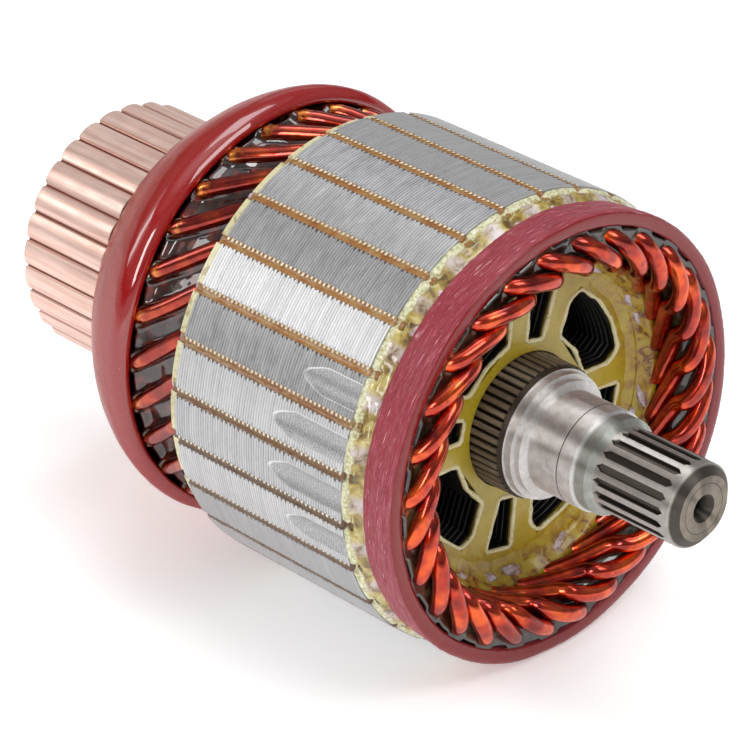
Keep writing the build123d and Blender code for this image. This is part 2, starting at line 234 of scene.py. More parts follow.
class Nodes:
    """Node tree with short calls to fill it."""

    def __init__(self, tree):
        self.tree = tree

    def put(self, value, socket):
        if isinstance(value, bpy.types.NodeSocket):
            self.tree.links.new(value, socket)
        else:
            socket.default_value = value

    def node(self, kind, *values, **settings):
        """New node with its settings made and its first inputs filled."""
        node = self.tree.nodes.new("ShaderNode" + kind)
        for key, setting in settings.items():
            setattr(node, key, setting)
        for value, socket in zip(values, node.inputs):
            self.put(value, socket)
        return node

    def ramp(self, value, *stops):
        """Colour ramp through (place, colour) stops."""
        node = self.node("ValToRGB", value)
        elements = node.color_ramp.elements
        while len(elements) < len(stops):
            elements.new(0.5)
        for element, (place, colour) in zip(elements, stops):
            element.position = place
            element.color = linear_colour(colour)
        return node.outputs["Color"]


class Shader(Nodes):
    """One material. mix and ramp take display colours.

    place is the point in millimetres, x, y and z its parts, radius its distance from the shaft's
    axis and turn its angle round the shaft in radians.
    """

    def __init__(self, name):
        self.material = bpy.data.materials.new(name)
        self.material.use_nodes = True
        super().__init__(self.material.node_tree)
        place = self.node("TexCoord").outputs["Object"]
        self.place = self.vector("MULTIPLY", place, (1000, 1000, 1000))
        self.x, self.y, self.z = self.node("SeparateXYZ", self.place).outputs
        squares = self.plus(self.times(self.y, self.y), self.times(self.z, self.z))
        self.radius = self.math("SQRT", squares)
        self.turn = self.math("ARCTAN2", self.times(self.y, -1.0), self.z)

    def set(self, **values):
        """Values or sockets for the surface shader, by input name with _ for a space."""
        for key, value in values.items():
            self.put(value, self.tree.nodes["Principled BSDF"].inputs[key.replace("_", " ")])

    def finish(self, colour, roughness, normal, coat=(0.0,), under=(), **values):
        """Set the surface and return the material.

        coat is the clear coat's weight, roughness and IOR, under the subsurface weight and radius.
        """
        values.update(zip(("Coat_Weight", "Coat_Roughness", "Coat_IOR"), coat))
        values.update(zip(("Subsurface_Weight", "Subsurface_Radius"), under))
        self.set(Base_Color=colour, Roughness=roughness, Normal=normal, **values)
        return self.material

    def math(self, operation, a, b=0.0, c=0.0):
        return self.node("Math", a, b, c, operation=operation).outputs[0]

    def times(self, a, b):
        return self.math("MULTIPLY", a, b)

    def plus(self, a, b):
        return self.math("ADD", a, b)

    def minus(self, a, b):
        return self.math("SUBTRACT", a, b)

    def linear(self, a, slope, offset):
        return self.math("MULTIPLY_ADD", a, slope, offset)

    def size(self, a):
        return self.math("ABSOLUTE", a)

    def wave(self, value):
        """Sine from 0 to 1, one wave for each whole number."""
        return self.linear(self.math("SINE", self.times(value, 2 * math.pi)), 0.5, 0.5)

    def within_pitch(self):
        """Place within a pitch, from -0.5 to 0.5, 0 at a tooth's middle or at a seam."""
        return self.minus(self.math("FRACT", self.linear(self.turn, slots_per_radian, 0.5)), 0.5)

    def vector(self, operation, a, b=(0, 0, 0)):
        return self.node("VectorMath", a, b, operation=operation).outputs["Vector"]

    def join(self, x, y, z):
        return self.node("CombineXYZ", x, y, z).outputs[0]

    def around(self, along, across, out):
        """Place along the shaft, round it and out from it, each one scaled."""
        return self.join(self.times(self.x, along), self.times(self.turn, 38.0 * across),
                         self.times(self.radius, out))

    def noise(self, scale, detail=3.0, roughness=0.55, place=None, distortion=0.0):
        node = self.node("TexNoise", self.place if place is None else place)
        node.inputs["Scale"].default_value = scale
        node.inputs["Detail"].default_value = detail
        node.inputs["Roughness"].default_value = roughness
        node.inputs["Distortion"].default_value = distortion
        return node.outputs["Fac"]

    def random(self, number):
        node = self.node("TexWhiteNoise", noise_dimensions="1D")
        self.put(number, node.inputs["W"])
        return node.outputs["Value"]

    def spread(self, value, low, high, to_low=0.0, to_high=1.0):
        """The value's range mapped to another one and held inside it."""
        return self.node("MapRange", value, low, high, to_low, to_high,
                         interpolation_type="SMOOTHSTEP").outputs[0]

    def mix(self, share, a, b):
        node = self.node("Mix", share, data_type="RGBA")
        self.put(linear_colour(a), node.inputs[6])
        self.put(linear_colour(b), node.inputs[7])
        return node.outputs[2]

    def layers(self, colour, *tints):
        """Tints over a colour, each one (value, where it starts, where it is full, share, tint)."""
        for value, start, full, share, tint in tints:
            colour = self.mix(self.spread(value, start, full, 0.0, share), colour, tint)
        return colour

    def bump(self, height, distance, normal=None):
        """Bump from a height from 0 to 1, its full height in millimetres."""
        node = self.node("Bump", 1.0, distance * MM)
        self.put(height, node.inputs["Height"])
        if normal is not None:
            self.put(normal, node.inputs["Normal"])
        return node.outputs["Normal"]

    def gloss(self, facing, grazing):
        """Share of clear coat, less of it where the surface turns away."""
        away = self.node("LayerWeight").outputs["Facing"]
        return self.spread(away, 0.3, 0.8, facing, grazing)

    def turned(self, strength):
        """Stretch the gloss along the shaft, as fine turning lines round it do."""
        tangent = self.node("Tangent", direction_type="RADIAL", axis="X")
        self.set(Anisotropic=strength, Anisotropic_Rotation=0.25, Tangent=tangent.outputs[0])


# Core steel

skin_radius = 37.4
cut_radius = 38.40
window_wall_pitch = 1.1


def sheet_tone(s, tooth, lines, scuffs, grain):
    """Lightness of the sheets' edges, by tooth and by sheet, with scuffs and grain."""
    sheet = s.math("FLOOR", s.math("DIVIDE", s.x, sheet_pitch))
    by_tooth = s.random(s.plus(tooth, 11.0))
    by_sheet = s.random(s.plus(sheet, s.times(tooth, 97.0)))
    tone = s.linear(by_sheet, 0.08, 0.50)
    tone = s.plus(tone, s.linear(by_tooth, 0.10, -0.05))
    tone = s.plus(tone, s.linear(scuffs, 0.24, -0.12))
    tone = s.plus(tone, s.linear(grain, 0.24, -0.12))
    return s.minus(tone, s.times(s.minus(1.0, lines), 0.24))


def burr_shade_comb(s, skin, edge):
    """Painted shade: dark ticks in from a tooth's edge, where every other sheet reaches over the
    slot.
    """
    steps = s.math("DIVIDE", s.x, burr_pitch)
    saw = s.size(s.minus(s.math("FRACT", steps), 0.5))
    reach = s.linear(s.random(s.math("FLOOR", steps)), 0.55, 0.25)
    tick = s.times(reach, s.linear(saw, -3.2, 1.0))
    return s.times(skin, s.spread(edge, s.minus(tick, 0.06), s.plus(tick, 0.06), 1.0, 0.0))


def milled_colour(s, steel, milled, skin, from_middle, grain, lines):
    """The balance cuts: bare metal with a painted highlight round the cut's edge, stronger on the
    side that faces up.
    """
    cut = s.ramp(s.plus(grain, s.times(lines, 0.12)), (0.30, (134, 135, 138)),
                 (0.60, (170, 170, 171)), (0.85, (212, 211, 209)))
    steel = s.mix(milled, steel, cut)
    # Painted highlight: a bright line round the cut's edge.
    lip_highlight = s.times(s.spread(s.radius, 38.34, cut_radius), s.spread(s.radius, 38.48, 38.45))
    lip_highlight = s.times(lip_highlight, s.spread(from_middle, 0.8, -0.8, 0.15, 0.75))
    return s.mix(s.times(lip_highlight, skin), steel, (232, 232, 230))


def flattened_normal(s, tooth, skin, milled):
    """Normal drawn towards each tooth's middle, so that a tooth shines as one face."""
    middle = s.times(tooth, 1 / slots_per_radian)
    flat = s.join(0.0, s.times(s.math("SINE", middle), -1.0), s.math("COSINE", middle))
    normal = s.node("NewGeometry").outputs["Normal"]
    share = s.times(s.times(skin, s.minus(1.0, milled)), 0.55)
    return s.vector("NORMALIZE", s.mix(share, normal, flat))


def laminated_steel():
    """Stacked sheet edges: fine lines across each tooth, painted shade in ticks between burrs at
    its edges, milled cuts.
    """
    s = Shader("core_steel")
    pitches = s.times(s.turn, slots_per_radian)
    tooth = s.math("FLOOR", s.plus(pitches, 0.5))
    from_middle = s.times(s.minus(pitches, tooth), core_pitch_arc)
    edge = s.minus((core_pitch_arc - slot_mouth) / 2, s.size(from_middle))
    lines = s.wave(s.math("DIVIDE", s.x, sheet_pitch))
    scuffs = s.noise(1.0, 3.0, 0.6, s.around(1.6, 0.5, 0.3))
    grain = s.noise(5.0, 2.0, 0.6)
    skin = s.spread(s.radius, skin_radius, skin_radius + 0.2)
    milled = s.times(skin, s.spread(s.radius, 38.46, cut_radius))
    inside = s.spread(s.radius, 27.0, 24.0)

    steel = s.ramp(sheet_tone(s, tooth, lines, scuffs, grain), (0.0, (80, 82, 88)),
                   (0.4, (178, 178, 180)), (0.8, (234, 231, 227)))
    tick_shade = burr_shade_comb(s, skin, edge)
    # Painted shade: the ticks are darker on each tooth's upper edge.
    upper = s.spread(from_middle, 0.3, -0.3)
    steel = s.mix(s.times(tick_shade, s.linear(upper, 0.55, 0.35)), steel, (58, 42, 26))
    steel = milled_colour(s, steel, milled, skin, from_middle, grain, lines)
    # Painted shade: below 27 mm radius, fully below 24 mm, the core is painted near black, with
    # lighter lines along the shaft.
    layers = s.wave(s.times(s.x, 1 / window_wall_pitch))
    shaded_wall = s.mix(s.spread(layers, 0.72, 0.98), (7, 7, 7), (112, 112, 110))
    steel = s.mix(inside, steel, shaded_wall)

    height = s.plus(s.times(lines, 0.7), s.times(grain, 0.5))
    relief = s.times(height, s.minus(1.0, s.times(milled, 0.7)))
    s.turned(0.6)
    return s.finish(steel, s.plus(s.spread(scuffs, 0.3, 0.7, 0.32, 0.42), s.times(milled, 0.1)),
                    s.bump(relief, 0.015, flattened_normal(s, tooth, skin, milled)),
                    Metallic=s.minus(0.72, s.times(s.math("MAXIMUM", tick_shade, inside), 0.4)))


# Varnishes and insulation

def slot_varnish():
    """Amber varnish that lies in the slot mouths, with painted shade making it darker olive-brown
    towards the underside.
    """
    s = Shader("amber_wedge")
    patch = s.noise(1.0, 3.0, 0.6, s.around(0.35, 0.2, 0.5))
    fine = s.noise(1.0, 4.0, 0.6, s.around(2.4, 3.0, 1.0))
    # Painted shade: the slots further round from the lit side take the dark olive-brown.
    low = s.spread(s.size(s.minus(s.turn, 0.4)), 0.6, 1.3)
    lit_amber = s.ramp(patch, (0.35, (214, 132, 44)), (0.5, (240, 170, 74)), (0.65, (252, 210, 130)))
    shaded_olive_brown = s.mix(patch, (88, 72, 34), (52, 42, 20))
    colour = s.layers(
        s.mix(low, lit_amber, shaded_olive_brown),
        (fine, 0.60, 0.72, 1.0, (214, 176, 110)),
        (fine, 0.42, 0.32, 0.5, (140, 84, 32)),
    )
    colour = s.mix(0.7, colour, (96, 58, 24))
    return s.finish(colour, s.spread(fine, 0.3, 0.7, 0.22, 0.5), s.bump(fine, 0.14),
                    coat=(0.5, 0.12))


def stained_face(s, colour, stain, most):
    """Amber and brown varnish over the outer part of a plate's face."""
    on_face = s.spread(s.radius, 29.5, 28.5, 0.0, most)
    outward = s.spread(s.radius, 20.5, 27.0)
    amber_share = s.times(outward, s.spread(stain, 0.36, 0.62))
    colour = s.mix(s.times(amber_share, on_face), colour, (150, 104, 26))
    brown_share = s.times(s.spread(stain, 0.52, 0.62), s.spread(s.radius, 24.5, 27.0))
    return s.mix(s.times(brown_share, on_face), colour, (96, 52, 24))


def insulation(name, pale, deep, low, high, face_stain):
    """Moulded end insulation: creamy at the core and tinted by varnish further out."""
    s = Shader(name)
    patch = s.noise(0.16, 4.0, 0.6)
    grain = s.noise(1.6, 5.0, 0.65)
    stain = s.noise(0.42, 4.0, 0.65, distortion=0.8)
    share = s.spread(s.plus(s.x, s.linear(patch, 1.2, -0.6)), low, high)
    share = s.math("MAXIMUM", share, s.spread(s.radius, 28.0, 27.0))
    colour = s.mix(share, pale, deep)
    deeper = s.mix(0.4, deep, (136, 112, 24))
    colour = s.mix(s.spread(patch, 0.42, 0.72, 0.0, 0.8), colour, deeper)
    lug = s.spread(s.radius, 30.0, 32.0)
    colour = s.mix(s.times(lug, 0.55), colour, (214, 206, 160))
    lug_stain = s.times(lug, s.spread(stain, 0.50, 0.62, 0.0, 0.6))
    colour = s.layers(
        s.mix(lug_stain, colour, (136, 108, 34)),
        (grain, 0.60, 0.75, 0.3, (236, 228, 188)),
        (grain, 0.40, 0.28, 0.30, (120, 100, 40)),
    )
    return s.finish(stained_face(s, colour, stain, face_stain),
                    s.spread(patch, 0.3, 0.7, 0.24, 0.42),
                    s.bump(s.plus(s.times(patch, 0.8), s.times(grain, 0.2)), 0.35),
                    coat=(0.35, 0.12), under=(0.1, (0.002, 0.0015, 0.0006)))


def pooled_varnish():
    """Dark glossy varnish between the wires, greyer at the drive end."""
    s = Shader("pooled_varnish")
    patch = s.noise(0.5, 3.0, 0.55)
    fine = s.noise(1.3, 3.0, 0.6)
    brown = s.ramp(patch, (0.34, (24, 8, 5)), (0.52, (54, 22, 13)), (0.70, (120, 34, 18)))
    grey = s.ramp(patch, (0.34, (12, 11, 8)), (0.52, (28, 25, 16)), (0.70, (66, 62, 44)))
    return s.finish(s.mix(s.spread(s.x, -40.0, -30.0), brown, grey),
                    s.spread(fine, 0.35, 0.7, 0.3, 0.45),
                    s.bump(s.plus(s.times(patch, 0.8), s.times(fine, 0.2)), 0.14),
                    coat=(s.gloss(1.0, 0.2), 0.02, 1.7), Specular_IOR_Level=0.2)


def rim_varnish():
    """Rough cream edge left round the lightening windows."""
    s = Shader("rim_varnish")
    grain = s.noise(1.5, 5.0, 0.7)
    patch = s.noise(0.35, 3.0)
    colour = s.layers(
        s.mix(patch, (214, 202, 140), (236, 228, 188)),
        (grain, 0.56, 0.70, 0.8, (250, 246, 226)),
        (grain, 0.42, 0.32, 0.7, (146, 124, 54)),
    )
    return s.finish(colour, s.spread(grain, 0.3, 0.7, 0.3, 0.6), s.bump(grain, 0.3),
                    coat=(0.3, 0.15))


def lug_varnish():
    """Rough cream edge at the core, then olive-brown varnish, milky in patches on the teeth."""
    s = Shader("lug_varnish")
    patch = s.noise(0.45, 3.0, 0.6, distortion=0.4)
    fine = s.noise(1.8, 4.0, 0.65)
    on_tooth = s.spread(s.size(s.within_pitch()), 0.24, 0.06)
    varnish = s.ramp(patch, (0.36, (100, 72, 22)), (0.46, (148, 122, 44)),
                     (0.56, (176, 156, 74)), (0.68, (206, 192, 130)))
    milky = s.times(on_tooth, s.spread(patch, 0.34, 0.62, 0.1, 0.8))
    varnish = s.mix(milky, varnish, (200, 188, 200))
    cream = s.ramp(fine, (0.34, (158, 148, 92)), (0.5, (204, 204, 166)), (0.66, (232, 230, 206)))
    edge = s.plus(s.x, s.linear(patch, 2.4, -1.2))
    at_core = s.spread(edge, -13.9, -14.3)
    return s.finish(s.mix(at_core, varnish, cream),
                    s.mix(at_core, s.spread(fine, 0.3, 0.7, 0.15, 0.3), (0.55, 0.55, 0.55, 1)),
                    s.bump(s.plus(patch, s.times(fine, 0.3)), 0.2),
                    coat=(s.spread(edge, -13.9, -14.3, 0.9, 0.15), 0.05),
                    under=(0.15, (0.0015, 0.001, 0.0006)))


def pearly_varnish():
    """Milky mauve varnish where the slot liners end."""
    s = Shader("pearly_varnish")
    patch = s.noise(0.7, 3.0, 0.6)
    fine = s.noise(2.0, 3.0, 0.6)
    colour = s.ramp(patch, (0.32, (148, 122, 66)), (0.46, (176, 158, 160)), (0.66, (214, 200, 214)))
    return s.finish(colour, s.spread(fine, 0.3, 0.7, 0.15, 0.35),
                    s.bump(s.plus(patch, s.times(fine, 0.3)), 0.4), coat=(1.0, 0.03),
                    under=(0.25, (0.0015, 0.001, 0.001)))


# Winding, bands and commutator

def enamelled_copper():
    """Copper wire under a clear red-orange enamel, with dark brown patches towards the core."""
    s = Shader("enamelled_copper")
    patch = s.noise(0.25, 2.0)
    fine = s.noise(0.8, 2.0, 0.5)
    stain = s.noise(0.45, 4.0, 0.6)
    colour = s.ramp(patch, (0.34, (130, 18, 4)), (0.5, (184, 44, 9)), (0.66, (226, 88, 20)))
    colour = s.mix(s.spread(fine, 0.60, 0.75, 0.0, 0.5), colour, (126, 22, 10))
    front = s.spread(s.x, -7.0, -12.0)
    rear = s.spread(s.x, -40.0, -45.0)
    depth = s.math("MAXIMUM", s.minus(front, rear), s.times(rear, 0.35))
    brown_patches = s.times(s.times(s.spread(stain, 0.46, 0.62), depth), 0.8)
    colour = s.mix(brown_patches, colour, (82, 50, 28))
    colour = s.mix(s.times(rear, 0.45), colour, (120, 22, 12))
    # Painted highlight: bright orange glints in the wires' colour near the resin.
    glint = s.times(s.spread(s.x, -64.8, -67.2), s.spread(fine, 0.42, 0.60, 0.0, 0.9))
    colour = s.mix(glint, colour, (244, 150, 52))
    return s.finish(colour, s.spread(fine, 0.3, 0.8, 0.18, 0.28),
                    s.bump(s.plus(patch, s.times(fine, 0.06)), 0.1),
                    coat=(s.gloss(0.8, 0.12), 0.03, 1.5), Metallic=0.92)


def glass_tape():
    """Matt pink-red glass tape in resin, with pale fibres running round the band."""
    s = Shader("glass_tape")
    slant = s.linear(s.turn, 38.0 * 0.12, s.x)
    thread_place = s.join(s.times(slant, 4.5), s.times(s.turn, 38.0 * 0.22), 0.0)
    strands = s.noise(1.0, 5.0, 0.75, s.around(4.6, 0.26, 0.4))
    threads = s.noise(1.0, 2.0, 0.6, thread_place)
    specks = s.noise(3.2, 4.0, 0.75)
    patch = s.noise(0.16, 3.0)
    front = s.spread(s.x, front_band_front - 0.30, front_band_front - 0.15)
    colour = s.layers(
        s.mix(patch, (158, 44, 62), (132, 26, 44)),
        (strands, 0.50, 0.66, 0.6, (204, 112, 126)),
        (strands, 0.46, 0.34, 0.6, (108, 18, 34)),
        (threads, 0.66, 0.71, 0.8, (250, 214, 214)),
        (specks, 0.60, 0.70, 0.45, (232, 180, 184)),
        (specks, 0.40, 0.30, 0.45, (96, 14, 28)),
    )
    return s.finish(s.mix(front, colour, (124, 6, 15)),
                    s.mix(front, s.spread(strands, 0.3, 0.7, 0.66, 0.46), (0.14, 0.14, 0.14, 1)),
                    s.bump(s.plus(strands, s.times(threads, 0.5)), 0.14), coat=(0.1, 0.12))


def red_resin():
    """Thick glossy red resin over the commutator leads."""
    s = Shader("red_resin")
    patch = s.noise(0.12, 3.0)
    fine = s.noise(0.9, 2.0)
    specks = s.noise(4.0, 2.0, 0.5)
    rim = s.spread(s.x, -76.0, -69.5)
    colour = s.mix(patch, (166, 38, 14), (128, 20, 8))
    colour = s.mix(rim, colour, (146, 3, 6))
    colour = s.mix(s.spread(specks, 0.69, 0.74, 0.0, 0.7), colour, (232, 130, 100))
    return s.finish(colour, 0.3, s.bump(s.plus(patch, s.times(fine, 0.08)), 0.3),
                    coat=(s.gloss(0.95, 0.06), 0.04, 1.8), Specular_IOR_Level=0.1)


def bar_copper():
    """Turned copper bars, satin along the brush track and oxidised at the risers."""
    s = Shader("bar_copper")
    from_seam = s.size(s.times(s.within_pitch(), bar_pitch_arc))
    streak = s.noise(1.0, 2.0, 0.5, s.around(0.06, 0.7, 0.0))
    rings = s.noise(1.0, 2.0, 0.6, s.around(3.0, 0.1, 0.0))
    patch = s.noise(0.25, 3.0)
    rough = s.noise(1.8, 5.0, 0.7)
    riser = s.spread(s.x, -91.5, -90.9)
    copper = s.ramp(streak, (0.36, (223, 184, 169)), (0.5, (232, 197, 184)),
                    (0.64, (240, 208, 196)))
    copper = s.layers(
        copper,
        (rings, 0.52, 0.75, 0.15, (214, 164, 144)),
        (from_seam, 0.62, 0.30, 0.5, (178, 112, 92)),
        (from_seam, 0.24, 0.14, 0.92, (96, 44, 30)),
    )
    oxide = s.ramp(rough, (0.35, (84, 44, 32)), (0.5, (138, 82, 62)), (0.65, (204, 150, 124)))
    copper = s.mix(s.spread(s.radius, 21.2, 20.2), copper, (112, 62, 46))
    sawn = s.mix(rough, (150, 92, 70), (206, 150, 124))
    copper = s.mix(s.spread(s.x, bar_end + 0.12, bar_end + 0.04), copper, sawn)
    s.turned(0.35)
    return s.finish(s.mix(riser, copper, oxide),
                    s.mix(riser, s.spread(patch, 0.3, 0.7, 0.36, 0.44), (0.5, 0.5, 0.5, 1)),
                    s.bump(s.plus(s.times(rings, 0.1), s.times(rough, riser)), 0.06), Metallic=0.72)


# Shaft

seat_from = -7.85
rear_seat_to = -59.0
collar_from = 4.4
spline_from = 7.2
shaft_tip = 24.45
ground_ring = 1.5


def shaft_lines(s, colour):
    """Dark lines on the shaft: the ground ring, the tip's turned ring and its hole."""
    from_ring = s.size(s.minus(s.x, ground_ring))
    colour = s.mix(s.spread(from_ring, 0.12, 0.06), colour, (58, 52, 48))
    from_turned = s.size(s.minus(s.radius, 4.2))
    at_tip = s.spread(s.x, shaft_tip, shaft_tip + 0.05)
    turned_line = s.times(s.times(s.spread(from_turned, 0.14, 0.06), at_tip), 0.6)
    colour = s.mix(turned_line, colour, (70, 62, 54))
    hole = s.times(s.spread(s.radius, 2.5, 1.6), s.spread(s.x, 24.3, 22.0))
    return s.mix(hole, colour, (30, 28, 26))


def shaft_steel():
    """Shaft steel by stretch: dark knurl, bright ground seats, tinted collar, spline dark in its
    grooves.
    """
    s = Shader("shaft_steel")
    rings = s.noise(1.0, 3.0, 0.65, s.around(7.0, 0.35, 1.0))
    mottle = s.noise(0.7, 3.0, 0.5)
    fine = s.noise(4.0, 3.0, 0.5)
    ridge = s.spread(s.radius, 6.55, 6.95)
    on_spline = s.spread(s.x, spline_from, spline_from + 1.0)
    bright = s.ramp(s.linear(mottle, 0.6, s.times(rings, 0.4)), (0.32, (196, 194, 191)),
                    (0.5, (216, 214, 212)), (0.68, (232, 231, 229)))
    knurl = s.mix(s.spread(s.radius, 11.05, 11.3), (44, 37, 30),
                  s.mix(mottle, (108, 96, 78), (146, 134, 115)))
    dark = s.mix(fine, (58, 50, 42), (98, 88, 76))
    collar = s.mix(mottle, (178, 181, 175), (138, 141, 135))
    ridges = s.mix(mottle, (198, 194, 189), (156, 151, 145))
    spline = s.mix(ridge, (92, 86, 80), ridges)
    tip = s.mix(mottle, (170, 160, 148), (128, 119, 108))
    seats = s.math("MAXIMUM", s.spread(s.x, seat_from, seat_from + 0.05),
                   s.spread(s.x, rear_seat_to, rear_seat_to - 1.0))
    colour = s.mix(s.spread(s.x, -8.85, -8.8), knurl, dark)
    colour = s.mix(seats, colour, bright)
    colour = s.mix(s.spread(s.x, collar_from, collar_from + 0.8), colour, collar)
    colour = s.mix(on_spline, colour, spline)
    colour = s.mix(s.spread(s.x, shaft_tip, shaft_tip + 0.05), colour, tip)
    grooves = s.times(on_spline, s.minus(1.0, ridge))
    s.turned(1.0)
    return s.finish(shaft_lines(s, colour),
                    s.plus(s.spread(mottle, 0.35, 0.65, 0.40, 0.45), s.times(grooves, 0.1)),
                    s.bump(s.plus(s.times(rings, 0.5), s.times(fine, 0.4)), 0.012),
                    Metallic=s.minus(0.86, s.times(s.spread(s.x, seat_from, -8.0), 0.3)))


def plain(name, dark, light, scale, roughness, metallic=0.0, coat=0.0, depth=0.05):
    """Surface with two tones of noise, for pieces that are hardly seen."""
    s = Shader(name)
    patch = s.noise(scale, 4.0, 0.6)
    return s.finish(s.mix(patch, dark, light),
                    s.spread(patch, 0.3, 0.7, roughness, roughness + 0.12), s.bump(patch, depth),
                    coat=(coat,), Metallic=metallic)


olive = insulation("olive_insulation", (224, 219, 186), (178, 156, 38), -14.6, -13.7, 0.85)
amber = slot_varnish()
enamel = enamelled_copper()
varnish = pooled_varnish()
tape = glass_tape()
resin = red_resin()
copper = bar_copper()
pearl = pearly_varnish()
sleeve = plain("varnished_sleeve", (52, 30, 20), (92, 62, 36), 0.5, 0.3, 0.0, 0.5, 0.2)
burr = plain("burr_steel", (236, 228, 204), (196, 184, 152), 1.5, 0.35, 0.2, 0.5)


# CAD nodes that keep their shape and take a finish

finishes = {
    "lamination_core": laminated_steel(),
    "slot_wedges": amber,
    "slot_liners": plain("liner_paper", (208, 200, 196), (160, 150, 158), 0.8, 0.2, 0.0, 1.0, 0.25),
    "front_layer_sleeve": sleeve,
    "rear_layer_sleeve": sleeve,
    "commutator_bars": copper,
    "commutator_mica": plain("mica", (92, 54, 42), (132, 84, 64), 0.9, 0.55),
    "commutator_hub": plain("hub_resin", (60, 38, 30), (84, 54, 40), 0.6, 0.4, depth=0.08),
    "commutator_bush": plain("bush_steel", (120, 116, 112), (160, 154, 150), 0.5, 0.35, 1.0),
    "armature_shaft": shaft_steel(),
    "front_end_plate": olive,
    "rear_end_plate": insulation("pale_insulation", (216, 210, 172), (204, 196, 148), -54.0, -52.0,
                                 0.3),
    "front_band": tape,
    "rear_band": resin,
}
for name, finish in finishes.items():
    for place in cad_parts[name].material_slots:
        place.material = finish


# Hairpins: round wires on the same route as their solids, each a little out of true.
# A route's points are (station, radius, angle from the wire's own upper slot).

helix_end = rear_bend - 12.7
helix_end_turn = 15.8
helix_middle = rear_bend - 6.3
helix_middle_turn = 7.9
upper_foot_radius = 20.4
lower_foot_radius = 16.9
lead_foot = 2.0
slot_ease = 0.5
slot_inset = 3.0
slot_ease_turn = 0.6
crown_swings = (22, 50, 90, 130, 158)
wire_sides = 16


def upper_route(loose):
    """Outer layer, from the riser through the slot to the end of the slant."""
    return [
        (riser_face, upper_foot_radius, lead_turn),
        (riser_face + lead_foot, upper_foot_radius, lead_turn),
        (helix_end - 8.0, 27.2 + loose(0.2), 20.6),
        (helix_end, 33.75 + loose(0.15), helix_end_turn + loose(0.3)),
        (helix_middle, top_radius + loose(0.15), helix_middle_turn + loose(0.2)),
        (rear_bend - slot_ease, top_radius, 0.3),
        (rear_bend + slot_inset, top_radius, 0),
        (front_bend - slot_inset, top_radius, 0),
        (front_bend + slot_ease, top_radius, -slot_ease_turn),
        (slant_middle, top_radius + loose(0.1), -slant_turn / 2),
        (slant_end - 0.6, top_radius - 0.1, -slant_turn * 0.94),
    ]


def crown_route(loose):
    """The rounded crown that leads from the outer layer to the inner one."""
    reach = crown_reach + loose(0.35)
    swing_angle = crown_half_angle + loose(0.3)
    middle = (top_radius + bottom_radius) / 2
    half = (top_radius - bottom_radius) / 2
    route = []
    for swing in map(math.radians, crown_swings):
        route.append((
            slant_end + reach * math.sin(swing),
            middle + half * math.cos(swing) + loose(0.08),
            -half_span + swing_angle * math.cos(swing) + loose(0.15),
        ))
    return route


def lower_route(loose):
    """Inner layer, from the crown back through the slot five pitches on to its riser."""
    far = -2 * half_span
    return [
        (slant_end - 0.6, bottom_radius + 0.1, far + slant_turn * 0.94),
        (slant_middle, bottom_radius + loose(0.1), far + slant_turn / 2),
        (front_bend + slot_ease, bottom_radius, far + slot_ease_turn),
        (front_bend - slot_inset, bottom_radius, far),
        (rear_bend + slot_inset, bottom_radius, far),
        (rear_bend - slot_ease, bottom_radius, far - 0.3),
        (rear_bend - 7.0, bottom_radius - 0.1, far - 8.5),
        (rear_bend - 15.75, 22.9, far - 17.1),
        (rear_bend - 24.5, 16.95, far - lead_turn),
        (riser_face, lower_foot_radius, far - lead_turn),
    ]


def hairpin_path(index):
    """Smooth line of one hairpin, in metres."""
    chance = random.Random(100 + index)

    def loose(amount):
        return chance.uniform(-amount, amount)

    route = upper_route(loose) + crown_route(loose) + lower_route(loose)
    base = first_slot + slot_pitch * index
    points = [at(x, r, base + a) for x, r, a in route]
    steps = [4 if (b - a).length > 3 * MM else 3 for a, b in zip(points, points[1:])]
    return smooth_path(points, steps)


for index in range(slot_count):
    wire = tube(f"wire_{index + 1:02d}", hairpin_path(index), wire_radius, wire_sides, enamel)
    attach(wire, "root")
    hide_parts(f"hairpin_{index + 1:02d}")


# Varnish between the wires of the two overhangs, drawn up where it meets a wire or a band

fill_segments = slot_count * 44
fill_skin_radius = 32.0
rise_at_wire, reach_at_wire = 0.8, 0.5
rise_at_band, reach_at_band = 0.9, 0.8


def wire_turn(x):
    """Angle of the outer layer's wires from their slot, at a station beyond the core."""
    stops = (
        (helix_end, helix_end_turn), (helix_middle, helix_middle_turn),
        (rear_bend - slot_ease, 0.3), (-40.0, 0.0), (front_bend + slot_ease, -slot_ease_turn),
        (slant_middle, -slant_turn / 2), (slant_end, -slant_turn),
    )
    for (x0, a0), (x1, a1) in zip(stops, stops[1:]):
        if x <= x1:
            return a0 + (a1 - a0) * max(0.0, (x - x0) / (x1 - x0))
    return stops[-1][1]


def meniscus(band_edge, depth, scale, seed):
    """Unevenness of a fill: noise, and a rise close to the wires and to the band's edge."""
    def wobble(x, radius, angle, lump):
        rise = depth * lump(scale, seed)
        if radius > fill_skin_radius:
            steps = (angle - first_slot - wire_turn(x)) / slot_pitch
            gap = abs(steps - round(steps)) * math.radians(slot_pitch) * radius - wire_radius
            rise += rise_at_wire * math.exp(-(max(gap, 0.0) / reach_at_wire) ** 2)
            rise += rise_at_band * math.exp(-((x - band_edge) / reach_at_band) ** 2)
        return rise, 0.0
    return wobble


